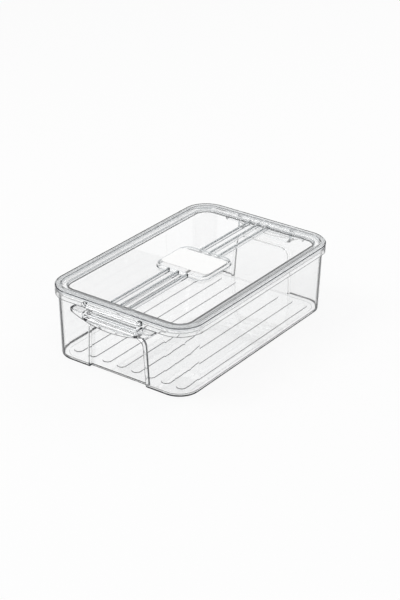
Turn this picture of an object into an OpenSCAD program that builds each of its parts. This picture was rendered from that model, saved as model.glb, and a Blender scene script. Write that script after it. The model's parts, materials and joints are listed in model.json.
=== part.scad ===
// Clear fridge bin with a lift-off lid and a snap clip at each short end.
// Millimetres. X runs across the bin, Y runs along it, Z is up.
// The origin is the middle of the footprint, on the surface that the bin stands on.

/* [Bin] */
// Outside width of the bin at its base
base_w = 197; // [170:1:260]
// Outside length of the bin at its base
base_l = 309; // [250:1:400]
// Outside corner radius of the base
base_corner_r = 27; // [24:1:36]
// Height of the bin from the table to the top of its rim
bin_h = 89.4; // [84:0.2:130]
// Thickness of the walls
wall_t = 2; // [1.6:0.1:2.4]
// Thickness of the floor
floor_t = 1.8; // [1.6:0.1:3]
// Lean of the walls away from upright, in degrees
draft = 1.85; // [1:0.05:2.6]
// Radius of the outer bottom edge
base_edge_r = 2.5; // [2:0.1:5]
// Height of the foot ring under the floor
foot_h = 0.6; // [0.4:0.1:1.5]
// Width of the foot ring, with the round bottom edge
foot_w = 9; // [8:0.1:12]
// Radius of the fillet between floor and walls
floor_fillet = 3; // [1.5:0.1:4]
// How far the rim bead stands out from the wall
rim_bead = 1.2; // [0.6:0.1:1.3]
// Height of the rim bead
rim_bead_h = 3; // [2:0.1:5]

/* [Floor ribs] */
// Number of ribs along the floor
floor_rib_count = 8; // [2:1:8]
// Spacing of the floor ribs
floor_rib_pitch = 21.9; // [16:0.1:23]
// Width of a floor rib
floor_rib_w = 12; // [6:0.5:14]
// Height of a floor rib above the floor
floor_rib_h = 0.8; // [0.6:0.1:3]
// Distance from the end of a rib to the outside of the base
floor_rib_margin = 18.5; // [14:0.5:40]

/* [End recess] */
// Width of the sunk panel in each end wall, at the table
recess_w = 85; // [60:1:96]
// Gap between the top of the sunk panel and the lowest point of the pull
recess_gap = 3.4; // [2:0.1:20]
// Depth of the sunk panel
recess_depth = 5.3; // [3:0.1:7]
// Lean of each side of the sunk panel away from upright, in degrees
recess_splay = 3; // [1:0.1:5]
// Radius of the top corners of the sunk panel
recess_corner_r = 10; // [4:0.5:16]

/* [End pull] */
// Width of the hooded pull at each end
pull_w = 120; // [104:1:130]
// How far the pull stands out past the lid
pull_reach = 7.2; // [5:0.1:12]
// How much further the middle of the pull bows out
pull_bow = 1.2; // [0.6:0.1:3]
// Thickness of the pull
pull_t = 2; // [1.6:0.1:2.4]
// Depth of the pull from its shoulders to the lowest point of its edge
pull_drop = 14.6; // [13:0.1:16]
// Depth of the pull at its two ends
pull_end_h = 2.6; // [2.2:0.1:4]
// Corner radius of the pull seen from above
pull_corner_r = 4; // [2:0.5:6]
// Gap between the lid's skirt and the shoulders of the pull
pull_gap = 1.8; // [1:0.1:3]
// Gap between the clip and the notch it hangs in, at each side
notch_gap = 1; // [0.6:0.1:2]
// Gap between the clip and the bottom of its notch
notch_floor_gap = 2; // [1.6:0.1:3]

/* [Lid] */
// How far the lid's skirt stands out from the bin's wall at the rim
lid_over = 3.7; // [3.5:0.1:5]
// Thickness of the lid
lid_t = 2; // [1.6:0.1:2.4]
// Height of the lid's skirt
skirt_h = 12; // [11:0.2:16]
// Thickness of the lid's skirt
skirt_t = 2; // [1.6:0.1:2.2]
// Radius of the outer top edge of the lid
lid_edge_r = 1.9; // [1:0.1:2.2]
// Clearance between the lid's plug wall and the inside of the bin
plug_gap = 0.5; // [0.3:0.05:1]
// Thickness of the plug wall
plug_t = 1.8; // [1.4:0.1:2.4]
// How far the plug wall reaches into the bin
plug_h = 4.5; // [3:0.1:8]
// Step from the lid's bead down to its land
land_drop = 2.3; // [1.5:0.1:3]
// Width of the land inside the bead
land_w = 8; // [6:0.5:12]
// Step from the land down to the panel
panel_drop = 2.9; // [2:0.1:3.4]

/* [Lid seal] */
// Height of the seal
seal_h = 2.2; // [1.6:0.1:3]
// Gap between the seal and the rim
seal_gap = 0.2; // [0.05:0.05:0.4]
// Gap between the seal and each side of its channel
seal_side_gap = 0.1; // [0.05:0.05:0.3]

/* [Lid ribs] */
// Number of ribs along the lid
lid_rib_count = 3; // [1:1:4]
// Spacing of the lid ribs
lid_rib_pitch = 13.8; // [8:0.1:15]
// Width of a lid rib
lid_rib_w = 3.8; // [2:0.2:5]
// Height of a lid rib above the panel
lid_rib_h = 5; // [4:0.1:5.1]
// How far the end of a lid rib runs onto the land
lid_rib_over = 1.6; // [0.4:0.1:1.6]

/* [Label pad] */
// Border of the raised pad beside the label plate
pad_side = 1.5; // [1:0.1:12]
// Border of the raised pad at the front and back of the label plate
pad_end = 9.8; // [1:0.1:16]
// Height of the raised pad above the panel
pad_h = 4.6; // [4:0.1:5.2]
// Corner radius of the raised pad
pad_corner_r = 14; // [8:0.5:20]
// How far the sides of the pad lean in
pad_lean = 1.5; // [0.5:0.1:1.8]
// Width of the label plate
plate_w = 71; // [40:1:90]
// Length of the label plate
plate_l = 46.5; // [30:0.5:60]
// Thickness of the label plate
plate_t = 1; // [0.8:0.1:1.4]
// Depth of the seat that the label plate lies in
plate_seat = 0.6; // [0.3:0.1:0.8]
// Corner radius of the label plate
plate_corner_r = 7; // [3:0.5:10]
// Gap round the label plate
plate_gap = 0.15; // [0.1:0.05:0.3]

/* [Snap clip] */
// Width of a clip
clip_w = 75; // [50:1:80]
// Thickness of the clip's hanging plate
clip_t = 2; // [1.6:0.1:2.6]
// How far the foot of the clip stands out past the lid
clip_foot = 7.8; // [6:0.1:9]
// Distance of the hinge axis from the face of the lid's skirt
hinge_out = 2.7; // [2.5:0.1:3.5]
// Depth of the hinge axis below the top of the lid
hinge_drop = 6.4; // [5.6:0.1:7]
// Diameter of the clip's hinge barrel
barrel_d = 4; // [3.4:0.1:4.4]
// Diameter of the clip's hinge studs
stud_d = 2.2; // [1.8:0.1:2.6]
// Clearance between a stud and its bore, on the radius
stud_gap = 0.06; // [0.04:0.01:0.1]
// Length of a hinge stud
stud_l = 4; // [3:0.1:4.5]
// Diameter of the lug round each stud
lug_d = 5.2; // [4.6:0.1:5.4]
// Thickness of a lug
lug_t = 5; // [4:0.1:8]
// Gap between the clip and a lug
lug_gap = 0.4; // [0.2:0.1:0.8]
// Depth of the catch below the lid's skirt
catch_drop = 3.5; // [3:0.1:5]
// Height of the catch
catch_h = 2; // [1.4:0.1:3]
// How far the tip of the catch lies inside the face of the skirt
catch_in = 1.8; // [1.6:0.1:2]
// Gap between the top of the hook and the catch
hook_gap = 0.7; // [0.4:0.1:1]
// Height of the hook
hook_h = 2.4; // [2:0.1:3]
// Clearance between the tip of the hook and the tip of the catch
snap_gap = 0.3; // [0.3:0.05:0.6]
// Gap between the clip's arm and the bottom of the skirt
arm_gap = 0.5; // [0.4:0.1:1]
// Radius of the finger groove under the clip's foot
groove_r = 1.6; // [1:0.1:2]

/* [Hidden] */
$fn = 64;
clear_plastic = [0.86, 0.91, 0.93, 0.35];
clear_rubber = [0.80, 0.84, 0.86, 0.5];
white_plastic = [0.97, 0.97, 0.96];

// Overlap that joins solids of one piece
join = 1;
// Overshoot of a cut past the face that it opens
over = 1;
// How far a rounding stands past the leaning faces that it runs into
ease = 0.03;

// Outward shift of a leaning wall at height z
function lean(z) = z * tan(draft);

rim_rise = lean(bin_h);
floor_z = foot_h + floor_t;
lid_w = base_w + 2 * (rim_rise + lid_over);
lid_l = base_l + 2 * (rim_rise + lid_over);
lid_corner_r = base_corner_r + rim_rise + lid_over;

// Levels of the lid, from the rim upwards and from its top downwards
seal_z = bin_h + seal_gap;
channel_z = seal_z + seal_h;
top_z = channel_z + lid_t;
skirt_z = top_z - skirt_h;
land_z = top_z - land_drop;
panel_z = land_z - panel_drop;
plug_z = land_z - lid_t - plug_h;

// The plug wall clears the inside of the bin at its lowest edge
plug_in = lid_over + wall_t + lean(bin_h - plug_z) + plug_gap;
bead_w = plug_in + plug_t;
panel_in = bead_w + land_w;

// Levels of the clip and of the notch in the pull
shoulder_z = skirt_z - pull_gap;
catch_z = skirt_z - catch_drop - catch_h;
hook_z = catch_z - hook_gap;
clip_z = hook_z - hook_h;
notch_z = clip_z - notch_floor_gap;
hinge_z = top_z - hinge_drop;
notch_w = clip_w + 2 * notch_gap;
pull_low_z = shoulder_z - pull_drop;
pull_sag = pull_drop - pull_end_h;
pull_edge_r = (pow(pull_w / 2, 2) + pow(pull_sag, 2)) / (2 * pull_sag);
pull_bow_r = (pow(pull_w / 2, 2) + pow(pull_bow, 2)) / (2 * pull_bow);
pull_front_y = lid_l / 2 + pull_reach + pull_bow;
recess_h = pull_low_z - recess_gap;

// The raised pad follows the label plate
pad_w = plate_w + 2 * (pad_side + pad_lean);
pad_l = plate_l + 2 * (pad_end + pad_lean);

// Rectangle with round corners, centred
module rounded_rect(w, l, r) {
    square([w - 2 * r, l], center = true);
    square([w, l - 2 * r], center = true);
    for (sx = [-1, 1], sy = [-1, 1])
        translate([sx * (w / 2 - r), sy * (l / 2 - r)])
            circle(r);
}

// Slab with round corners from height z to height z + h
module slab(w, l, r, z, h) {
    translate([0, 0, z])
        linear_extrude(h)
            rounded_rect(w, l, r);
}

// Sweeps a flat section round a rectangle with round corners.
// The section's first axis is measured outwards from the corner centres.
module ring(w, l, r) {
    run_x = w - 2 * r;
    run_y = l - 2 * r;
    for (turn = [0, 180]) {
        rotate([0, 0, turn])
            translate([run_x / 2, run_y / 2, 0])
                rotate([90, 0, 0])
                    linear_extrude(run_y)
                        children();
        rotate([0, 0, turn])
            translate([-run_x / 2, run_y / 2, 0])
                rotate([90, 0, 90])
                    linear_extrude(run_x)
                        children();
    }
    for (corner = [[1, 1, 0], [-1, 1, 90], [-1, -1, 180], [1, -1, 270]])
        translate([corner[0] * run_x / 2, corner[1] * run_y / 2, 0])
            rotate([0, 0, corner[2]])
                rotate_extrude(angle = 90)
                    children();
}

// Draws a section of the front end, given as distance out and height, across the width w
module across(w) {
    translate([w / 2, 0, 0])
        rotate([90, 0, -90])
            linear_extrude(w)
                children();
}

// Draws a front view, given as distance across and height, from y = -from to y = -to
module facing(from, to) {
    translate([0, -from, 0])
        rotate([90, 0, 0])
            linear_extrude(to - from)
                children();
}

// Same shape at both short ends
module both_ends() {
    children();
    rotate([0, 0, 180])
        children();
}

// Bin

// Cuts the bottom edge round, touching both the table face and the leaning wall
module base_edge_cut() {
    x = base_corner_r - base_edge_r * tan(45 - draft / 2);
    touch_x = x + base_edge_r * cos(draft);
    touch_z = base_edge_r - base_edge_r * sin(draft);
    difference() {
        polygon([
            [x, -over],
            [touch_x + over, -over],
            [touch_x + over, touch_z],
            [touch_x, touch_z],
            [x, base_edge_r]
        ]);
        translate([x, base_edge_r])
            circle(base_edge_r + ease);
    }
}

// Section of the leaning wall with its foot, floor edge, fillet and rim bead
module bin_wall_section() {
    r = base_corner_r;
    inner_low = r + lean(floor_z) - wall_t;
    bead_z = bin_h - rim_bead_h - rim_bead;
    difference() {
        polygon([
            [r, 0],
            [r + rim_rise, bin_h],
            [r + rim_rise - wall_t, bin_h],
            [inner_low, floor_z],
            [r - foot_w, floor_z],
            [r - foot_w, 0]
        ]);
        base_edge_cut();
    }
    polygon([
        [r + lean(bead_z) - wall_t / 2, bead_z],
        [r + lean(bead_z), bead_z],
        [r + rim_rise + rim_bead, bin_h - rim_bead_h],
        [r + rim_rise + rim_bead, bin_h],
        [r + rim_rise - wall_t / 2, bin_h]
    ]);
    floor_fillet_section(inner_low);
}

// Fillet between the floor and the leaning wall that meets it at x
module floor_fillet_section(x) {
    centre_x = x - floor_fillet * tan(45 - draft / 2);
    difference() {
        polygon([
            [centre_x, floor_z - join],
            [x + wall_t / 2, floor_z - join],
            [x + wall_t / 2 + lean(floor_fillet), floor_z + floor_fillet],
            [centre_x, floor_z + floor_fillet]
        ]);
        translate([centre_x, floor_z + floor_fillet])
            circle(floor_fillet + ease);
    }
}

// One long rib with round ends on the floor
module floor_rib() {
    run = base_l - 2 * floor_rib_margin - floor_rib_w;
    translate([0, 0, floor_z - join / 2])
        linear_extrude(floor_rib_h + join / 2) {
            square([floor_rib_w, run], center = true);
            for (sy = [-1, 1])
                translate([0, sy * run / 2])
                    circle(floor_rib_w / 2);
        }
}

// Front view of the sunk panel, wider at the table, grown by a margin
module recess_front(grow) {
    half = recess_w / 2 + grow;
    low_half = half + over * tan(recess_splay);
    top = recess_h + grow;
    r = recess_corner_r + grow;
    x = half - (r + (top - r) * sin(recess_splay)) / cos(recess_splay);
    touch_x = x + r * cos(recess_splay);
    touch_z = top - r + r * sin(recess_splay);
    polygon([
        [-low_half, -over],
        [low_half, -over],
        [touch_x, touch_z],
        [x, top - r],
        [x, top],
        [-x, top],
        [-x, top - r],
        [-touch_x, touch_z]
    ]);
    for (sx = [-1, 1])
        translate([sx * x, top - r])
            circle(r + ease);
}

// Space of the sunk panel between two depths measured from the outside of the leaning wall
module recess_space(grow, outer, low) {
    top = recess_h + grow + over;
    back = base_l / 2 - recess_depth - grow;
    front = base_l / 2 - outer;
    intersection() {
        across(2 * recess_w)
            polygon([
                [back + lean(low), low],
                [front + lean(low), low],
                [front + lean(top), top],
                [back + lean(top), top]
            ]);
        facing(back - over, base_l / 2 + rim_rise + over)
            recess_front(grow);
    }
}

// Front view of the hooded pull without its notch
module pull_front() {
    intersection() {
        translate([-pull_w / 2, pull_low_z])
            square([pull_w, pull_drop]);
        translate([0, pull_low_z + pull_edge_r])
            circle(pull_edge_r, $fn = 256);
    }
}

// Plan of the hooded pull from the end wall to its bowed front, cut back by an inset
module pull_plan(inset) {
    half = pull_w / 2 - inset;
    back_y = base_l / 2 - over;
    corner_y = lid_l / 2 + pull_reach - pull_corner_r - inset;
    intersection() {
        union() {
            translate([-half, -corner_y])
                square([2 * half, corner_y - back_y]);
            translate([pull_corner_r - half, -pull_front_y])
                square([2 * (half - pull_corner_r), pull_front_y - back_y]);
            for (sx = [-1, 1])
                translate([sx * (half - pull_corner_r), -corner_y])
                    circle(pull_corner_r);
        }
        translate([0, pull_bow_r - pull_front_y])
            circle(pull_bow_r - inset, $fn = 256);
    }
}

// Hooded pull: a flange with a bowed apron, notched in the middle for the clip
module pull() {
    out = pull_front_y + over;
    difference() {
        intersection() {
            translate([0, 0, pull_low_z])
                linear_extrude(pull_drop)
                    pull_plan(0);
            facing(0, out)
                pull_front();
            across(pull_w)
                polygon([
                    [base_l / 2 + lean(pull_low_z) - wall_t / 2, pull_low_z - over],
                    [out, pull_low_z - over],
                    [out, shoulder_z + over],
                    [base_l / 2 + lean(shoulder_z) - wall_t / 2, shoulder_z + over]
                ]);
        }
        translate([-notch_w / 2, -out, notch_z])
            cube([notch_w, out, shoulder_z]);
        pull_hollow();
    }
}

// Finger room inside the pull
module pull_hollow() {
    low = pull_low_z - over;
    web = notch_w / 2 + pull_t;
    translate([0, 0, low])
        linear_extrude(notch_z - pull_t - low)
            pull_plan(pull_t);
    for (sx = [-1, 1])
        intersection() {
            translate([0, 0, low])
                linear_extrude(shoulder_z - pull_t - low)
                    pull_plan(pull_t);
            translate([sx * (web + pull_w / 2), 0, 0])
                cube([pull_w, 2 * pull_front_y, 2 * shoulder_z], center = true);
        }
}

// Catch rib on the end wall, under which the clip's hook sits
module catch_rib() {
    w = clip_w - 2 * lug_t;
    tip = lid_l / 2 - catch_in;
    across(w)
        polygon([
            [base_l / 2 + lean(catch_z) - wall_t / 2, catch_z],
            [tip, catch_z],
            [tip, catch_z + catch_h / 2],
            [base_l / 2 + lean(catch_z) - wall_t / 2, catch_z + catch_h]
        ]);
}

module bin() {
    color(clear_plastic)
        difference() {
            union() {
                ring(base_w, base_l, base_corner_r)
                    bin_wall_section();
                slab(base_w - 2 * (foot_w - join), base_l - 2 * (foot_w - join),
                    base_corner_r - foot_w + join, foot_h, floor_t);
                for (i = [0 : floor_rib_count - 1])
                    translate([(i - (floor_rib_count - 1) / 2) * floor_rib_pitch, 0, 0])
                        floor_rib();
                both_ends() {
                    recess_space(wall_t, wall_t / 2, floor_z - join / 2);
                    pull();
                    catch_rib();
                }
            }
            both_ends()
                recess_space(0, -2 * over, -over);
        }
}

// Lid

// Cuts a square outside corner of a section round
module round_off(x, z, r) {
    difference() {
        translate([x - r, z - r])
            square(r + over);
        translate([x - r, z - r])
            circle(r);
    }
}

// Section of the lid's skirt, bead, plug wall, land and panel edge
module lid_ring_section() {
    r = lid_corner_r;
    difference() {
        polygon([
            [r, skirt_z],
            [r, top_z],
            [r - bead_w, top_z],
            [r - bead_w, land_z],
            [r - panel_in, land_z],
            [r - panel_in, panel_z],
            [r - panel_in - join, panel_z],
            [r - panel_in - join, panel_z - lid_t],
            [r - panel_in + lid_t, panel_z - lid_t],
            [r - panel_in + lid_t, land_z - lid_t],
            [r - bead_w, land_z - lid_t],
            [r - bead_w, plug_z],
            [r - plug_in, plug_z],
            [r - plug_in, channel_z],
            [r - skirt_t, channel_z],
            [r - skirt_t, skirt_z]
        ]);
        round_off(r, top_z, lid_edge_r);
    }
}

// One long rib with a round top and a domed end, from the pad to the land
module lid_rib() {
    r = lid_rib_w / 2;
    start = pad_l / 2 - (pad_lean + lid_t) / 2;
    end = lid_l / 2 - panel_in + lid_rib_over - r;
    crown = panel_z + lid_rib_h - r;
    foot = panel_z - lid_t / 2;
    facing(start, end) {
        translate([-r, foot])
            square([2 * r, crown - foot]);
        translate([0, crown])
            circle(r);
    }
    translate([0, -end, foot])
        cylinder(r = r, h = crown - foot);
    translate([0, -end, crown])
        sphere(r);
}

// Section of the pad's leaning side wall
module pad_section() {
    r = pad_corner_r;
    low = panel_z - lid_t;
    polygon([
        [r, low],
        [r, panel_z],
        [r - pad_lean, panel_z + pad_h],
        [r - pad_lean - lid_t - join, panel_z + pad_h],
        [r - pad_lean - lid_t - join, panel_z + pad_h - lid_t],
        [r - pad_lean - lid_t, panel_z + pad_h - lid_t],
        [r - lid_t, panel_z],
        [r - lid_t, low]
    ]);
}

// Pair of lugs on the skirt that hold the clip's studs
module lugs() {
    near = clip_w / 2 + lug_gap;
    for (sx = [-1, 1])
        translate([sx * (near + lug_t / 2), 0, 0])
            across(lug_t)
                difference() {
                    union() {
                        translate([lid_l / 2 - skirt_t / 2, hinge_z - lug_d / 2])
                            square([skirt_t / 2 + hinge_out, lug_d]);
                        translate([lid_l / 2 + hinge_out, hinge_z])
                            circle(d = lug_d);
                    }
                    translate([lid_l / 2 + hinge_out, hinge_z])
                        circle(stud_d / 2 + stud_gap);
                }
}

module lid() {
    pad_in = pad_lean + lid_t;
    color(clear_plastic)
        difference() {
            union() {
                ring(lid_w, lid_l, lid_corner_r)
                    lid_ring_section();
                difference() {
                    slab(lid_w - 2 * panel_in, lid_l - 2 * panel_in,
                        lid_corner_r - panel_in, panel_z - lid_t, lid_t);
                    slab(pad_w - 2 * lid_t, pad_l - 2 * lid_t,
                        pad_corner_r - lid_t, panel_z - lid_t - over, lid_t + 2 * over);
                }
                ring(pad_w, pad_l, pad_corner_r)
                    pad_section();
                slab(pad_w - 2 * pad_in, pad_l - 2 * pad_in,
                    pad_corner_r - pad_in, panel_z + pad_h - lid_t, lid_t);
                both_ends() {
                    for (i = [0 : lid_rib_count - 1])
                        translate([(i - (lid_rib_count - 1) / 2) * lid_rib_pitch, 0, 0])
                            lid_rib();
                    lugs();
                }
            }
            slab(plate_w + 2 * plate_gap, plate_l + 2 * plate_gap,
                plate_corner_r + plate_gap, panel_z + pad_h - plate_seat, plate_seat + over);
        }
}

module lid_seal() {
    r = lid_corner_r;
    width = plug_in - skirt_t - 2 * seal_side_gap;
    color(clear_rubber)
        ring(lid_w, lid_l, r)
            translate([r - plug_in + seal_side_gap, seal_z])
                square([width, seal_h]);
}

module label_plate() {
    color(white_plastic)
        slab(plate_w, plate_l, plate_corner_r, panel_z + pad_h - plate_seat, plate_t);
}

// Clip

// Section of the clip's hanging plate, wedge foot, hook and finger groove
module clip_section() {
    face = lid_l / 2;
    arm = face - catch_in + snap_gap + hook_h / 2;
    plate_inner = face + hinge_out - clip_t / 2;
    plate_outer = face + hinge_out + clip_t / 2;
    tip = face - catch_in + snap_gap;
    bevel = hook_h / 3;
    groove_x = face + clip_foot - bevel - 2 * groove_r;
    difference() {
        polygon([
            [plate_inner, hinge_z],
            [plate_inner, skirt_z - arm_gap],
            [arm, skirt_z - arm_gap],
            [arm, hook_z + bevel],
            [tip, hook_z],
            [tip, clip_z + bevel],
            [tip + bevel, clip_z],
            [face + clip_foot - bevel, clip_z],
            [face + clip_foot, clip_z + bevel],
            [face + clip_foot, hook_z],
            [plate_outer, skirt_z],
            [plate_outer, hinge_z]
        ]);
        translate([groove_x, clip_z])
            circle(groove_r);
    }
    translate([face + hinge_out, hinge_z])
        circle(d = barrel_d);
}

// Clip that hangs from the lid's lugs at the front end
module clip() {
    across(clip_w)
        clip_section();
    translate([-clip_w / 2 - stud_l, -lid_l / 2 - hinge_out, hinge_z])
        rotate([0, 90, 0])
            cylinder(d = stud_d, h = clip_w + 2 * stud_l);
}

module front_clip() {
    color(clear_plastic)
        clip();
}

module back_clip() {
    color(clear_plastic)
        rotate([0, 0, 180])
            clip();
}

bin();
lid();
lid_seal();
label_plate();
front_clip();
back_clip();
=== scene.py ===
"""Looks, studio and camera for a clear fridge bin with a lift-off lid and two snap clips."""

from __future__ import annotations

import json
import logging
import math
from dataclasses import dataclass, field, replace
from enum import Enum
from typing import Any

import bpy
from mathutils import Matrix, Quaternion, Vector

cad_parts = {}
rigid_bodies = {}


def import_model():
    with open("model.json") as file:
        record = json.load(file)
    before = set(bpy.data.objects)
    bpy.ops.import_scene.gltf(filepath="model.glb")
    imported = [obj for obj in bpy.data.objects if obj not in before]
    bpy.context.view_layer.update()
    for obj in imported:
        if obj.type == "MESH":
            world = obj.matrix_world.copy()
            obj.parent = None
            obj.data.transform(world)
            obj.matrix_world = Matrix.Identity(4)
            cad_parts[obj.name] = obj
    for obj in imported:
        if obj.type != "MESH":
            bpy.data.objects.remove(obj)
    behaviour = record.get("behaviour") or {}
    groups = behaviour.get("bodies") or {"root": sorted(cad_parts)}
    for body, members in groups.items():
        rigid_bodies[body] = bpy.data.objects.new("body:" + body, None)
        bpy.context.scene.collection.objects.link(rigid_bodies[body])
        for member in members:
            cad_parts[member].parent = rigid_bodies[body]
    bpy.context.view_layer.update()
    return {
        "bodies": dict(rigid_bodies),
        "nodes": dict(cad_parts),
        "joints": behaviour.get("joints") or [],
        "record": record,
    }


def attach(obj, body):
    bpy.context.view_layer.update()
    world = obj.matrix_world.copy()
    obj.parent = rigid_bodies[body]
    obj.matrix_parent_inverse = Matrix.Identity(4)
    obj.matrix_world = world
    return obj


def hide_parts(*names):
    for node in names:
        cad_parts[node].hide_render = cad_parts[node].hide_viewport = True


Colour = tuple[float, float, float]
Point = tuple[float, float, float]
Span = tuple[float, float]

LOG = logging.getLogger("fridge_bin")
MM = 0.001
WHITE = (1.0, 1.0, 1.0)

# Heights of a unit normal: above the first a face is flat, below the second it looks down.
FLAT_FROM = 0.75
DOWN_BELOW = -0.3

# Colour sockets of a mix node, whose names repeat for each type of data.
MIX_FIRST = 6
MIX_SECOND = 7
MIX_RESULT = 2


class Body(Enum):
    """Rigid bodies of the CAD frame."""

    BIN = "bin"
    LID = "lid"
    FRONT_CLIP = "front_clip"
    BACK_CLIP = "back_clip"


class Slot(Enum):
    """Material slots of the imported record."""

    CLEAR = "clear_plastic"
    SEAL = "clear_rubber"
    PLATE = "white_plastic"


class Ray(Enum):
    """Light Path outputs that the studio and the clear finishes read."""

    CAMERA = "Is Camera Ray"
    GLOSSY = "Is Glossy Ray"
    TRANSMISSION = "Is Transmission Ray"
    REFLECTION = "Is Reflection Ray"


class Leak(Enum):
    """How light that was reflected inside a clear wall gets out of it."""

    BENT = "ShaderNodeBsdfRefraction"
    STRAIGHT = "ShaderNodeBsdfTransparent"


# Outlines


def span(low: float, high: float) -> Span:
    """Returns a span in metres from its two ends in millimetres."""
    return (low * MM, high * MM)


@dataclass(frozen=True)
class Outline:
    """Rounded rectangle about the frame's middle."""

    half_x: float
    half_y: float
    corner: float

    def inset(self, point: Vector) -> float:
        """Measures how far inside the outline a point lies.

        Args:
            point: any point, of which the height is ignored.

        Returns:
            The distance to the outline, negative outside it.
        """
        out_x = abs(point.x) - self.half_x + self.corner
        out_y = abs(point.y) - self.half_y + self.corner
        beyond = math.hypot(max(out_x, 0.0), max(out_y, 0.0))
        return self.corner - beyond - min(max(out_x, out_y), 0.0)


LID_RIM = Outline(105.09 * MM, 161.09 * MM, 33.59 * MM)


# Node groups


@dataclass
class NodeBuilder:
    """Adds and wires shader nodes in one tree."""

    tree: bpy.types.NodeTree

    def add(self, kind: str, **settings: Any) -> bpy.types.Node:
        """Adds a node.

        Args:
            kind: Blender's type name of the node.
            **settings: properties of the node to set.

        Returns:
            The new node.
        """
        node = self.tree.nodes.new(kind)
        for name, value in settings.items():
            setattr(node, name, value)
        return node

    def put(self, term: Any, socket: bpy.types.NodeSocket) -> None:
        """Gives an input socket its term.

        Args:
            term: an output to link, or a number, vector or colour to set.
            socket: the input socket.
        """
        if isinstance(term, bpy.types.NodeSocket):
            self.tree.links.new(term, socket)
        elif socket.type == "RGBA":
            socket.default_value = (*term, 1.0)
        else:
            socket.default_value = term

    def fill(self, node: bpy.types.Node, **terms: Any) -> bpy.types.Node:
        """Gives input sockets of a node their terms by name.

        Args:
            node: the node to fill.
            **terms: socket names, with underscores for spaces, and their terms.

        Returns:
            The same node.
        """
        for name, term in terms.items():
            self.put(term, node.inputs[name.replace("_", " ")])
        return node

    def math(self, operation: str, *terms: bpy.types.NodeSocket | float) -> bpy.types.NodeSocket:
        """Adds a math node.

        Args:
            operation: Blender's name of the operation.
            *terms: outputs to link or numbers to set, in order.

        Returns:
            The node's output.
        """
        node = self.add("ShaderNodeMath", operation=operation)
        for term, socket in zip(terms, node.inputs):
            self.put(term, socket)
        return node.outputs["Value"]

    def within(self, source: bpy.types.NodeSocket, limits: Span) -> bpy.types.NodeSocket:
        """Returns an output that is 1 where a value lies in a span, and otherwise 0."""
        return self.math("COMPARE", source, (limits[0] + limits[1]) / 2.0, (limits[1] - limits[0]) / 2.0)

    def ease(
        self, source: bpy.types.NodeSocket, limits: Span, results: Span = (0.0, 1.0)
    ) -> bpy.types.NodeSocket:
        """Maps a span of a value smoothly to another span.

        Args:
            source: output that holds the value.
            limits: the span of the value.
            results: what the ends of the span become.

        Returns:
            The output that holds the result.
        """
        node = self.add("ShaderNodeMapRange", interpolation_type="SMOOTHSTEP")
        self.fill(node, Value=source, From_Min=limits[0], From_Max=limits[1])
        self.fill(node, To_Min=results[0], To_Max=results[1])
        return node.outputs["Result"]

    def mix(self, *terms: bpy.types.NodeSocket) -> bpy.types.NodeSocket:
        """Mixes two shaders.

        Args:
            *terms: the factor, the shader at 0 and the shader at 1.

        Returns:
            The output of the mix.
        """
        node = self.add("ShaderNodeMixShader")
        for term, socket in zip(terms, node.inputs):
            self.put(term, socket)
        return node.outputs["Shader"]


def new_material(name: str) -> tuple[bpy.types.Material, NodeBuilder]:
    """Makes an empty material.

    Args:
        name: the material's name.

    Returns:
        The material and a builder for its tree.
    """
    material = bpy.data.materials.new(name)
    material.use_nodes = True
    material.node_tree.nodes.clear()
    return material, NodeBuilder(material.node_tree)


@dataclass(frozen=True)
class SharedGroup:
    """A node group that is made once and found again by its name."""

    name: str

    def get(self) -> bpy.types.NodeTree:
        """Returns the node group, made on the first call."""
        return bpy.data.node_groups.get(self.name) or self._make()

    def _make(self) -> bpy.types.NodeTree:
        """Builds the node group."""
        raise NotImplementedError


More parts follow.
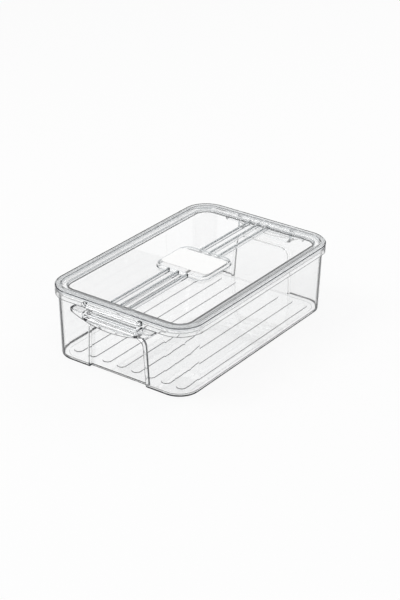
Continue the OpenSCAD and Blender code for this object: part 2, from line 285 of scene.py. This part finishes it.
@dataclass(frozen=True)
class SkinGroup(SharedGroup):
    """Shared effect of a moulded skin: slow flow waves in its normal and faint scuffs in its gloss."""

    name: str = "moulded_skin"
    flow_stretch: Point = (1.0, 0.45, 1.0)
    flow_detail: float = 2.0
    flow_roughness: float = 0.4
    scuff_detail: float = 6.0
    scuff_roughness: float = 0.7
    scuff_limits: Span = (0.35, 0.75)

    def cover(self, make: NodeBuilder, shader: bpy.types.Node, gloss: Span, **terms: float) -> None:
        """Links the skin's roughness and normal to a shader.

        Args:
            make: builder of the material's tree.
            shader: the shader to cover.
            gloss: lowest and highest roughness.
            **terms: other inputs of the group to set.
        """
        skin = make.add("ShaderNodeGroup", node_tree=self.get())
        make.fill(skin, Gloss_Low=gloss[0], Gloss_High=gloss[1], **terms)
        make.fill(shader, Roughness=skin.outputs["Roughness"], Normal=skin.outputs["Normal"])

    def _make(self) -> bpy.types.NodeTree:
        """Builds the node group.

        Returns:
            The new group with its named sockets.
        """
        group = bpy.data.node_groups.new(self.name, "ShaderNodeTree")
        inputs = {
            "Flow Scale": 18.0,
            "Flow Depth": 0.00002,
            "Scuff Scale": 320.0,
            "Gloss Low": 0.02,
            "Gloss High": 0.06,
        }
        for name, value in inputs.items():
            socket = group.interface.new_socket(name, in_out="INPUT", socket_type="NodeSocketFloat")
            socket.default_value = value
        group.interface.new_socket("Roughness", in_out="OUTPUT", socket_type="NodeSocketFloat")
        group.interface.new_socket("Normal", in_out="OUTPUT", socket_type="NodeSocketVector")
        make = NodeBuilder(group)
        source = make.add("NodeGroupInput")
        place = make.add("ShaderNodeTexCoord")
        stretch = make.add("ShaderNodeMapping")
        make.fill(stretch, Vector=place.outputs["Object"], Scale=self.flow_stretch)
        flow = make.add("ShaderNodeTexNoise")
        make.fill(flow, Detail=self.flow_detail, Roughness=self.flow_roughness)
        make.fill(flow, Vector=stretch.outputs["Vector"], Scale=source.outputs["Flow Scale"])
        bump = make.add("ShaderNodeBump")
        make.fill(bump, Strength=1.0, Distance=source.outputs["Flow Depth"], Height=flow.outputs["Fac"])
        scuff = make.add("ShaderNodeTexNoise")
        make.fill(scuff, Detail=self.scuff_detail, Roughness=self.scuff_roughness)
        make.fill(scuff, Vector=place.outputs["Object"], Scale=source.outputs["Scuff Scale"])
        gloss = make.add("ShaderNodeMapRange")
        make.fill(gloss, From_Min=self.scuff_limits[0], From_Max=self.scuff_limits[1])
        make.fill(gloss, To_Min=source.outputs["Gloss Low"], To_Max=source.outputs["Gloss High"])
        make.fill(gloss, Value=scuff.outputs["Fac"])
        result = make.add("NodeGroupOutput")
        make.fill(result, Roughness=gloss.outputs["Result"], Normal=bump.outputs["Normal"])
        return group


@dataclass(frozen=True)
class PaintedShadeLineGroup(SharedGroup):
    """Shared painted shade: a dark line painted into a colour along a rounded rectangle, by its insets and
    heights.
    """

    outline: Outline
    inset: Span
    height: Span

    def _make(self) -> bpy.types.NodeTree:
        """Builds the node group.

        Returns:
            The new group, which turns a plain colour into one with a painted shade line.
        """
        group = bpy.data.node_groups.new(self.name, "ShaderNodeTree")
        for name, side in (("Plain", "INPUT"), ("Line", "INPUT"), ("Colour", "OUTPUT")):
            group.interface.new_socket(name, in_out=side, socket_type="NodeSocketColor")
        make = NodeBuilder(group)
        source = make.add("NodeGroupInput")
        place = make.add("ShaderNodeTexCoord")
        axes = make.fill(make.add("ShaderNodeSeparateXYZ"), Vector=place.outputs["Object"])
        across = make.within(self._inset(make, axes), self.inset)
        upright = make.within(axes.outputs["Z"], self.height)
        mix = make.add("ShaderNodeMix", data_type="RGBA")
        make.fill(mix, Factor=make.math("MULTIPLY", across, upright))
        make.put(source.outputs["Plain"], mix.inputs[MIX_FIRST])
        make.put(source.outputs["Line"], mix.inputs[MIX_SECOND])
        make.fill(make.add("NodeGroupOutput"), Colour=mix.outputs[MIX_RESULT])
        return group

    def _inset(self, make: NodeBuilder, axes: bpy.types.Node) -> bpy.types.NodeSocket:
        """Measures the distance inside the outline with nodes.

        Args:
            make: builder of the group's tree.
            axes: node that gives X, Y and Z.

        Returns:
            The output that holds the inset.
        """
        shape = self.outline
        out_x = make.math("SUBTRACT", make.math("ABSOLUTE", axes.outputs["X"]), shape.half_x - shape.corner)
        out_y = make.math("SUBTRACT", make.math("ABSOLUTE", axes.outputs["Y"]), shape.half_y - shape.corner)
        square_x = make.math("POWER", make.math("MAXIMUM", out_x, 0.0), 2.0)
        square_y = make.math("POWER", make.math("MAXIMUM", out_y, 0.0), 2.0)
        beyond = make.math("SQRT", make.math("ADD", square_x, square_y))
        within = make.math("MINIMUM", make.math("MAXIMUM", out_x, out_y), 0.0)
        return make.math("SUBTRACT", make.math("SUBTRACT", shape.corner, beyond), within)


# Finishes, painted shade lines among them


@dataclass(frozen=True)
class Mottle:
    """Cloudy mix of two colours."""

    scale: float
    detail: float

    def colour(self, make: NodeBuilder, low: Colour, high: Colour) -> bpy.types.NodeSocket:
        """Adds the nodes of the mix.

        Args:
            make: builder of the material's tree.
            low: colour where the noise is low.
            high: colour where the noise is high.

        Returns:
            The output that holds the colour.
        """
        place = make.add("ShaderNodeTexCoord")
        noise = make.add("ShaderNodeTexNoise")
        make.fill(noise, Vector=place.outputs["Object"], Scale=self.scale, Detail=self.detail)
        ramp = make.fill(make.add("ShaderNodeValToRGB"), Fac=noise.outputs["Fac"])
        for stop, colour in zip(ramp.color_ramp.elements, (low, high)):
            stop.color = (*colour, 1.0)
        return ramp.outputs["Color"]


@dataclass(frozen=True)
class ClearFinish:
    """See-through moulding whose long light paths at edges turn grey; a clear plastic unless told."""

    name: str
    edge_tint: Colour
    leak: Leak
    graze: Span
    tint: Colour = (0.998, 0.999, 1.0)
    ior: float = 1.53
    body_colour: Colour = (0.55, 0.60, 0.62)
    density: float = 6.0
    flow_depth: float = 0.00001
    gloss: Span = (0.004, 0.02)
    # Painted shade: a dark line painted into the colour, if any.
    lines: PaintedShadeLineGroup | None = None
    painted_shade_line_tint: Colour = (0.0, 0.0, 0.0)
    skin: SkinGroup = SkinGroup()

    def material(self) -> bpy.types.Material:
        """Builds the material.

        Returns:
            A refracting material with absorption in its volume.
        """
        material, make = new_material(self.name)
        glass = make.add("ShaderNodeBsdfPrincipled")
        make.fill(glass, Base_Color=self.tint, IOR=self.ior, Transmission_Weight=1.0)
        self.skin.cover(make, glass, self.gloss, Flow_Depth=self.flow_depth)
        # Painted shade: a dark line painted into the base colour where an edge seen through the lid looks
        # dark.
        if self.lines:
            drawn = make.add("ShaderNodeGroup", node_tree=self.lines.get())
            make.fill(drawn, Plain=self.tint, Line=self.painted_shade_line_tint)
            make.fill(glass, Base_Color=drawn.outputs["Colour"])
        through = make.add(self.leak.value)
        if self.leak is Leak.BENT:
            make.fill(through, IOR=self.ior, Roughness=0.0)
        film = make.fill(make.add("ShaderNodeBsdfTransparent"), Color=self.edge_tint)
        mirror = make.fill(make.add("ShaderNodeFresnel"), IOR=self.ior)
        share = make.ease(mirror.outputs["Fac"], self.graze)
        leak = make.mix(share, through.outputs["BSDF"], film.outputs["BSDF"])
        path = make.add("ShaderNodeLightPath")
        surface = make.mix(path.outputs[Ray.REFLECTION.value], glass.outputs["BSDF"], leak)
        depth = make.add("ShaderNodeVolumeAbsorption")
        make.fill(depth, Color=self.body_colour, Density=self.density)
        out = make.add("ShaderNodeOutputMaterial")
        make.fill(out, Surface=surface, Volume=depth.outputs["Volume"])
        return material


@dataclass(frozen=True)
class PaintedShadeTone:
    """Painted shade tone of an edge face seen from one side of the skin."""

    grey: Colour
    pale: Colour
    clearness: float
    shine: float


@dataclass(frozen=True)
class PaintedShadeEdge:
    """Narrow faces painted grey or dark as painted shade for how a clear edge bends light, a tone for each
    side.
    """

    name: str
    outside: PaintedShadeTone
    inside: PaintedShadeTone
    ior: float = 1.53
    flow_depth: float = 0.00001
    gloss: Span = (0.08, 0.2)
    mottle: Mottle = Mottle(scale=90.0, detail=3.0)
    skin: SkinGroup = SkinGroup()

    def material(self) -> bpy.types.Material:
        """Builds the material.

        Returns:
            A mottled grey material of painted shade, lighter or darker outside than inside.
        """
        material, make = new_material(self.name)
        face = make.add("ShaderNodeNewGeometry")
        sides = [self._side(make, tone) for tone in (self.outside, self.inside)]
        surface = make.mix(face.outputs["Backfacing"], *sides)
        make.fill(make.add("ShaderNodeOutputMaterial"), Surface=surface)
        return material

    def _side(self, make: NodeBuilder, tone: PaintedShadeTone) -> bpy.types.NodeSocket:
        """Builds the shader of one side.

        Args:
            make: builder of the material's tree.
            tone: the tone of that side.

        Returns:
            The shader's output.
        """
        shader = make.add("ShaderNodeBsdfPrincipled")
        make.fill(shader, IOR=self.ior, Transmission_Weight=tone.clearness, Specular_IOR_Level=tone.shine)
        make.fill(shader, Base_Color=self.mottle.colour(make, tone.grey, tone.pale))
        self.skin.cover(make, shader, self.gloss, Flow_Depth=self.flow_depth)
        return shader.outputs["BSDF"]


@dataclass(frozen=True)
class PlateFinish:
    """Matte white sheet with a fine grain."""

    name: str
    pale: Colour
    shade: Colour
    ior: float = 1.49
    grain_scale: float = 900.0
    grain_depth: float = 0.00001
    scuff_scale: float = 140.0
    gloss: Span = (0.38, 0.5)
    mottle: Mottle = Mottle(scale=260.0, detail=4.0)
    skin: SkinGroup = SkinGroup()

    def material(self) -> bpy.types.Material:
        """Builds the material.

        Returns:
            An opaque matte material with a slight mottle.
        """
        material, make = new_material(self.name)
        shader = make.add("ShaderNodeBsdfPrincipled")
        make.fill(shader, IOR=self.ior, Base_Color=self.mottle.colour(make, self.shade, self.pale))
        grain = {"Flow_Scale": self.grain_scale, "Flow_Depth": self.grain_depth}
        self.skin.cover(make, shader, self.gloss, Scuff_Scale=self.scuff_scale, **grain)
        make.fill(make.add("ShaderNodeOutputMaterial"), Surface=shader.outputs["BSDF"])
        return material


Finish = ClearFinish | PaintedShadeEdge | PlateFinish


# Modelling helpers


def pick_none() -> None:
    """Deselects everything."""
    bpy.ops.object.select_all(action="DESELECT")


def pick(obj: bpy.types.Object) -> None:
    """Selects one object alone and makes it active.

    Args:
        obj: the object to select.
    """
    pick_none()
    obj.select_set(True)
    bpy.context.view_layer.objects.active = obj


@dataclass(frozen=True)
class FaceZone:
    """Ring of faces, by their inset from an outline and their height, that takes another finish."""

    finish: Finish
    outline: Outline
    inset: Span
    height: Span
    steep_only: bool = True

    def holds(self, face: bpy.types.MeshPolygon) -> bool:
        """Tests one face.

        Args:
            face: a face of the piece.

        Returns:
            True if the face lies in the zone.
        """
        if self.steep_only and abs(face.normal.z) > FLAT_FROM:
            return False
        depth = self.outline.inset(face.center)
        return self.inset[0] <= depth <= self.inset[1] and self.height[0] <= face.center.z <= self.height[1]


@dataclass(frozen=True)
class ArcZone:
    """Faces under the arched edge of the pulls that take another finish, here a painted dark shade line."""

    finish: Finish
    lowest: float
    radius: float
    beyond: float
    reach: float

    def holds(self, face: bpy.types.MeshPolygon) -> bool:
        """Tests one face.

        Args:
            face: a face of the piece.

        Returns:
            True if the face looks down and lies on the arc.
        """
        place = face.center
        if face.normal.z > DOWN_BELOW or abs(place.y) < self.beyond or abs(place.x) > self.radius:
            return False
        arc = self.lowest + self.radius - math.sqrt(self.radius**2 - place.x**2)
        return abs(place.z - arc) < self.reach


@dataclass(frozen=True)
class EndZone:
    """Block of faces at both short ends that takes another finish."""

    finish: Finish
    beyond: float
    height: Span

    def holds(self, face: bpy.types.MeshPolygon) -> bool:
        """Returns True if a face lies in the block."""
        return abs(face.center.y) > self.beyond and self.height[0] <= face.center.z <= self.height[1]


Zone = FaceZone | ArcZone | EndZone


def paint(piece: bpy.types.Object, base: Finish, zones: tuple[Zone, ...] = ()) -> None:
    """Gives a piece its finish, and other finishes to the faces in its zones.

    Args:
        piece: the piece to paint.
        base: finish of all other faces.
        zones: zones in order, of which the first that holds a face counts.
    """
    finishes = [base]
    for zone in zones:
        if zone.finish not in finishes:
            finishes.append(zone.finish)
    for finish in finishes:
        piece.data.materials.append(bpy.data.materials.get(finish.name) or finish.material())
    for face in piece.data.polygons:
        chosen = next((zone.finish for zone in zones if zone.holds(face)), base)
        face.material_index = finishes.index(chosen)


@dataclass
class Moulding:
    """One CAD node with its edges softened as a mould leaves them; angles in degrees."""

    node: str
    body: Body
    slot: Slot
    edge_r: float
    segments: int = 2
    sharp_angle: float = 35.0
    weld: float = 0.01 * MM
    flat_angle: float = 0.2
    flat_weight: int = 80

    def build(self, frame: dict[str, Any]) -> bpy.types.Object:
        """Copies the node, merges it, rounds its sharp edges and puts the copy in its place.

        Args:
            frame: the loaded CAD frame.

        Returns:
            The finished piece.
        """
        source = frame["nodes"][self.node]
        piece = bpy.data.objects.new(f"{self.node}_moulded", source.data.copy())
        bpy.context.scene.collection.objects.link(piece)
        piece.data.materials.clear()
        pick(piece)
        bpy.ops.mesh.customdata_custom_splitnormals_clear()
        bpy.ops.object.mode_set(mode="EDIT")
        bpy.ops.mesh.select_all(action="SELECT")
        bpy.ops.mesh.remove_doubles(threshold=self.weld)
        bpy.ops.mesh.dissolve_limited(angle_limit=math.radians(self.flat_angle))
        bpy.ops.object.mode_set(mode="OBJECT")
        bevel = piece.modifiers.new("edges", "BEVEL")
        bevel.limit_method = "ANGLE"
        bevel.angle_limit = math.radians(self.sharp_angle)
        bevel.width = self.edge_r
        bevel.segments = self.segments
        bevel.use_clamp_overlap = False
        bpy.ops.object.modifier_apply(modifier=bevel.name)
        bpy.ops.object.shade_smooth()
        normals = piece.modifiers.new("flats", "WEIGHTED_NORMAL")
        normals.weight = self.flat_weight
        normals.keep_sharp = True
        bpy.ops.object.modifier_apply(modifier=normals.name)
        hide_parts(self.node)
        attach(piece, self.body.value)
        LOG.info("piece %s on body %s with %d faces", self.node, self.body.value, len(piece.data.polygons))
        return piece


# Sub-assemblies


@dataclass
class FridgeBin:
    """The clear box with its pulls and sunk end panels."""

    clear: ClearFinish
    pull: ClearFinish
    line: PaintedShadeEdge
    base: Outline = Outline(98.5 * MM, 154.5 * MM, 27.0 * MM)
    base_inset: Span = span(-0.5, 3.0)
    base_height: Span = span(0.05, 2.0)
    arc_low: float = 65.4 * MM
    arc_r: float = 156.0 * MM
    arc_beyond: float = 159.0 * MM
    arc_reach: float = 0.35 * MM
    pull_beyond: float = 158.2 * MM
    pull_height: Span = span(64.0, 80.5)
    edge_r: float = 0.3 * MM
    pieces: list[bpy.types.Object] = field(default_factory=list)

    def build(self, frame: dict[str, Any]) -> None:
        """Models the moulded box."""
        self.pieces.append(Moulding("bin", Body.BIN, Slot.CLEAR, self.edge_r).build(frame))

    def dress(self) -> None:
        """Gives the box its clear finish, its pulls a paler edge film as painted light, and painted shade
        lines.
        """
        zones = (
            # Painted shade: a dark line under the arched edges of the pulls.
            ArcZone(self.line, self.arc_low, self.arc_r, self.arc_beyond, self.arc_reach),
            EndZone(self.pull, self.pull_beyond, self.pull_height),
            # Painted shade: a dark line along the foot where the box meets the floor, a painted contact
            # shadow.
            FaceZone(self.line, self.base, self.base_inset, self.base_height, steep_only=False),
        )
        paint(self.pieces[0], self.clear, zones)


@dataclass(frozen=True)
class LidHeights:
    """Heights of the lid's faces that take a finish of their own."""

    lip: Span = span(81.0, 82.0)
    skirt: Span = span(81.0, 91.9)
    shoulder: Span = span(92.45, 93.4)
    crest: Span = span(93.45, 93.82)
    riser: Span = span(88.9, 91.4)
    pad: Span = span(88.7, 93.1)
    ribs: Span = span(88.8, 93.7)
    border: Span = span(81.0, 95.0)
    land: Span = span(89.0, 91.6)
    top: Span = span(93.7, 93.9)


@dataclass(frozen=True)
class LidInsets:
    """How far inside their outlines the lid's faces lie that take a finish of their own."""

    skirt: Span = span(-0.5, 2.6)
    shoulder: Span = span(-0.1, 1.9)
    crest: Span = span(7.8, 8.2)
    riser: Span = span(16.0, 16.3)
    pad: Span = span(-0.5, 4.5)
    ribs: Span = span(0.0, 16.5)
    border: Span = span(-0.5, 15.2)
    anywhere: Span = span(-0.5, 1000.0)


@dataclass
class RibbedLid:
    """The clear lid with its seal and its label plate."""

    clear: ClearFinish
    bead: ClearFinish
    light: ClearFinish
    skirt: ClearFinish
    soft: PaintedShadeEdge
    line: PaintedShadeEdge
    shoulder: PaintedShadeEdge
    riser: PaintedShadeEdge
    rubber: ClearFinish
    white: PlateFinish
    rim: Outline = LID_RIM
    pad: Outline = Outline(38.5 * MM, 34.55 * MM, 14.0 * MM)
    ribs: Outline = Outline(16.5 * MM, 147.0 * MM, 1.0 * MM)
    heights: LidHeights = LidHeights()
    insets: LidInsets = LidInsets()
    edge_r: float = 0.3 * MM
    plate_edge_r: float = 0.25 * MM
    seal_edge_r: float = 0.4 * MM
    pieces: dict[Slot, bpy.types.Object] = field(default_factory=dict)

    def build(self, frame: dict[str, Any]) -> None:
        """Models the lid, the seal under its bead and the plate on its pad.

        Args:
            frame: the loaded CAD frame.
        """
        mouldings = (
            Moulding("lid", Body.LID, Slot.CLEAR, self.edge_r),
            Moulding("lid_seal", Body.LID, Slot.SEAL, self.seal_edge_r),
            Moulding("label_plate", Body.LID, Slot.PLATE, self.plate_edge_r),
        )
        for moulding in mouldings:
            self.pieces[moulding.slot] = moulding.build(frame)

    def dress(self) -> None:
        """Gives the seal and the plate their finishes, and each lid zone its painted shade or painted
        light.

        The large ring faces of the land and the bead's top have their centres in the middle of the lid,
        so the last two zones go by height alone.
        """
        high, deep = self.heights, self.insets
        zones = (
            # Painted shade: grey and dark lines at the lip, shoulder, crest and riser, and the box's darker
            # copy on the skirt and pad sides.
            FaceZone(self.soft, self.rim, deep.skirt, high.lip, steep_only=False),
            FaceZone(self.skirt, self.rim, deep.skirt, high.skirt),
            FaceZone(self.shoulder, self.rim, deep.shoulder, high.shoulder, steep_only=False),
            FaceZone(self.line, self.rim, deep.crest, high.crest, steep_only=False),
            FaceZone(self.riser, self.rim, deep.riser, high.riser),
            FaceZone(self.skirt, self.pad, deep.pad, high.pad),
            # Painted light: paler copies of the clear plastic on the ribs, then on the bead, land and top.
            FaceZone(self.light, self.ribs, deep.ribs, high.ribs, steep_only=False),
            FaceZone(self.bead, self.rim, deep.border, high.border, steep_only=False),
            FaceZone(self.bead, self.rim, deep.anywhere, high.land, steep_only=False),
            FaceZone(self.bead, self.rim, deep.anywhere, high.top, steep_only=False),
        )
        paint(self.pieces[Slot.CLEAR], self.clear, zones)
        paint(self.pieces[Slot.SEAL], self.rubber)
        paint(self.pieces[Slot.PLATE], self.white)


@dataclass
class SnapClip:
    """One clear clip that hangs from the lid's lugs."""

    node: str
    body: Body
    finish: ClearFinish
    edge_r: float = 0.25 * MM
    pieces: list[bpy.types.Object] = field(default_factory=list)

    def build(self, frame: dict[str, Any]) -> None:
        """Models the clip."""
        self.pieces.append(Moulding(self.node, self.body, Slot.CLEAR, self.edge_r).build(frame))

    def dress(self) -> None:
        """Gives the clip the palest copy of the clear finish, whose paler edge film is painted light."""
        paint(self.pieces[0], self.finish)


Assembly = FridgeBin | RibbedLid | SnapClip


# Studio


@dataclass(frozen=True)
class SoftBox:
    """A square area lamp that looks at the object."""

    name: str
    place: Point
    size: float
    power: float
    target: Point = (0.0, 0.0, 0.05)

    def build(self) -> bpy.types.Object:
        """Makes the lamp.

        Returns:
            The lamp's object.
        """
        lamp = bpy.data.lights.new(self.name, "AREA")
        lamp.size = self.size
        lamp.energy = self.power
        obj = bpy.data.objects.new(self.name, lamp)
        obj.location = self.place
        aim = Vector(self.target) - Vector(self.place)
        obj.rotation_mode = "QUATERNION"
        obj.rotation_quaternion = aim.to_track_quat("-Z", "Y")
        obj.visible_camera = False
        bpy.context.scene.collection.objects.link(obj)
        return obj


@dataclass
class Studio:
    """White floor, pale dome and soft lamps."""

    floor_half: float = 8.0
    floor_drop: float = 0.2 * MM
    floor_colour: Colour = (0.82, 0.82, 0.82)
    shadow_share: float = 0.1
    dome_low: float = 1.0
    dome_high: float = 0.5
    white_below: float = 0.8
    white_fade: float = 0.3
    lamps: tuple[SoftBox, ...] = (
        SoftBox("key_softbox", (-0.9, -0.7, 1.6), 1.0, 14.7),
        SoftBox("fill_softbox", (1.3, -0.9, 1.1), 0.9, 6.4),
        SoftBox("back_softbox", (0.3, 1.5, 1.2), 1.0, 8.3),
    )

    def build(self) -> None:
        """Makes the floor, the world and the lamps."""
        self._floor()
        self._world()
        for lamp in self.lamps:
            lamp.build()
            LOG.info("lamp %s", lamp.name)

    def _seen(self, make: NodeBuilder) -> bpy.types.NodeSocket:
        """Adds up the rays that show the white studio.

        Args:
            make: builder of the tree that gets the nodes.

        Returns:
            The output that is 1 for camera, glossy and transmitted rays.
        """
        path = make.add("ShaderNodeLightPath")
        direct = make.math("MAXIMUM", path.outputs[Ray.CAMERA.value], path.outputs[Ray.GLOSSY.value])
        return make.math("MAXIMUM", direct, path.outputs[Ray.TRANSMISSION.value])

    def _floor(self) -> None:
        """Makes the floor, white to the eye and with a soft shadow."""
        pick_none()
        bpy.ops.mesh.primitive_plane_add(size=2.0 * self.floor_half, location=(0.0, 0.0, -self.floor_drop))
        floor = bpy.context.active_object
        floor.name = "studio_floor"
        material, make = new_material("studio_white")
        matte = make.fill(make.add("ShaderNodeBsdfDiffuse"), Color=self.floor_colour)
        glow = make.fill(make.add("ShaderNodeEmission"), Color=WHITE, Strength=1.0)
        share = make.math("MULTIPLY", self._seen(make), 1.0 - self.shadow_share)
        surface = make.mix(share, matte.outputs["BSDF"], glow.outputs["Emission"])
        make.fill(make.add("ShaderNodeOutputMaterial"), Surface=surface)
        floor.data.materials.append(material)

    def _world(self) -> None:
        """Makes a pale dome that is white at the horizon and greyer overhead."""
        world = bpy.data.worlds.new("studio_dome")
        bpy.context.scene.world = world
        world.use_nodes = True
        world.node_tree.nodes.clear()
        make = NodeBuilder(world.node_tree)
        place = make.add("ShaderNodeTexCoord")
        axes = make.fill(make.add("ShaderNodeSeparateXYZ"), Vector=place.outputs["Generated"])
        rise = make.ease(axes.outputs["Z"], (0.0, 1.0), (self.dome_low, self.dome_high))
        fade = (self.white_below, self.white_below + self.white_fade)
        band = make.ease(axes.outputs["Z"], fade, (1.0, 0.0))
        dome = make.fill(make.add("ShaderNodeBackground"), Strength=rise)
        card = make.fill(make.add("ShaderNodeBackground"), Color=WHITE, Strength=1.0)
        path = make.add("ShaderNodeLightPath")
        shown = make.math("MULTIPLY", self._seen(make), band)
        white = make.math("MAXIMUM", shown, path.outputs[Ray.CAMERA.value])
        surface = make.mix(white, dome.outputs["Background"], card.outputs["Background"])
        make.fill(make.add("ShaderNodeOutputWorld"), Surface=surface)


@dataclass(frozen=True)
class PhotoCamera:
    """Camera at the photograph's viewing angle, for a picture of 400 by 600; angles in degrees."""

    yaw: float = 35.49
    elevation: float = 26.57
    roll: float = 0.54
    distance: float = 2.05427
    target: Point = (0.0, 0.0, 0.045)
    focal_px: float = 1659.08
    centre_px: tuple[float, float] = (193.73, 296.33)
    picture_px: tuple[int, int] = (400, 600)
    sensor: float = 36.0
    reach: float = 100.0

    def build(self) -> bpy.types.Object:
        """Makes the camera and sets it as the scene's own.

        Returns:
            The camera's object.
        """
        long_side = float(max(self.picture_px))
        data = bpy.data.cameras.new("photo_camera")
        data.sensor_width = self.sensor
        data.lens = self.focal_px / long_side * self.sensor
        data.shift_x = (self.picture_px[0] / 2.0 - self.centre_px[0]) / long_side
        data.shift_y = (self.centre_px[1] - self.picture_px[1] / 2.0) / long_side
        data.clip_end = self.reach
        yaw, rise = math.radians(self.yaw), math.radians(self.elevation)
        back = Vector((math.sin(yaw) * math.cos(rise), -math.cos(yaw) * math.cos(rise), math.sin(rise)))
        camera = bpy.data.objects.new("photo_camera", data)
        camera.location = Vector(self.target) + back * self.distance
        camera.rotation_mode = "QUATERNION"
        turn = Quaternion((0.0, 0.0, 1.0), math.radians(self.roll))
        camera.rotation_quaternion = (-back).to_track_quat("-Z", "Y") @ turn
        bpy.context.scene.collection.objects.link(camera)
        bpy.context.scene.camera = camera
        return camera


# The object


def fridge_bin() -> list[Assembly]:
    """Chooses the finishes.

    Returns:
        The sub-assemblies of the object, still to be built.
    """
    # One clear plastic takes edge films from dark to pale by part and zone, as painted shade and painted
    # light: box darkest, lid paler, bead paler again, ribs, clips and pulls palest.
    clear = ClearFinish("clear_box", (0.0, 0.005, 0.01), Leak.BENT, graze=(0.09, 0.155))
    # Painted shade: a dark line painted into the lid's colour along its panel edge.
    panel_painted_shade_line = PaintedShadeLineGroup("lid_painted_shade_lines", LID_RIM, inset=span(15.0, 17.2), height=span(86.4, 86.75))
    pale = ClearFinish("clear_lid", (0.42, 0.43, 0.44), Leak.STRAIGHT, graze=(0.3, 0.6), lines=panel_painted_shade_line)
    bead = replace(pale, name="clear_bead_painted_light", edge_tint=(0.62, 0.63, 0.64), lines=None)
    light = replace(bead, name="clear_palest_painted_light", edge_tint=(0.93, 0.94, 0.95))
    rubber = ClearFinish(
        "clear_silicone",
        (0.82, 0.83, 0.84),
        Leak.STRAIGHT,
        graze=(0.11, 0.18),
        tint=(0.97, 0.98, 0.98),
        ior=1.41,
        body_colour=(0.55, 0.58, 0.60),
        density=20.0,
        flow_depth=0.00002,
        gloss=(0.02, 0.05),
    )
    # Tones of painted shade: half grey and dark lines; the open tone is the near-clear other side of a
    # pair.
    half_shade_tone = PaintedShadeTone((0.30, 0.31, 0.32), (0.42, 0.43, 0.44), clearness=0.5, shine=0.5)
    dark_shade_tone = PaintedShadeTone((0.08, 0.08, 0.09), (0.14, 0.14, 0.15), clearness=0.0, shine=0.0)
    open_tone = PaintedShadeTone((0.97, 0.975, 0.98), (0.99, 0.995, 1.0), clearness=1.0, shine=0.5)
    line = PaintedShadeEdge("painted_shade_edge_line", dark_shade_tone, dark_shade_tone)
    lid = RibbedLid(
        clear=pale,
        bead=bead,
        light=light,
        skirt=clear,
        soft=PaintedShadeEdge("painted_half_shade_lip", half_shade_tone, half_shade_tone),
        line=line,
        shoulder=PaintedShadeEdge("painted_shade_shoulder", dark_shade_tone, open_tone),
        riser=PaintedShadeEdge("painted_shade_riser", open_tone, dark_shade_tone),
        rubber=rubber,
        white=PlateFinish("matte_white_plate", (0.95, 0.95, 0.945), (0.91, 0.91, 0.905)),
    )
    return [
        FridgeBin(clear, light, line),
        lid,
        SnapClip("front_clip", Body.FRONT_CLIP, light),
        SnapClip("back_clip", Body.BACK_CLIP, light),
    ]


def main() -> None:
    """Builds the object, the studio and the camera."""
    logging.basicConfig(level=logging.INFO, format="%(name)s: %(message)s")
    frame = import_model()
    bpy.context.scene.view_settings.view_transform = "Standard"
    for assembly in fridge_bin():
        assembly.build(frame)
        assembly.dress()
        LOG.info("built %s", type(assembly).__name__)
    Studio().build()
    PhotoCamera().build()


if __name__ == "__main__":
    main()
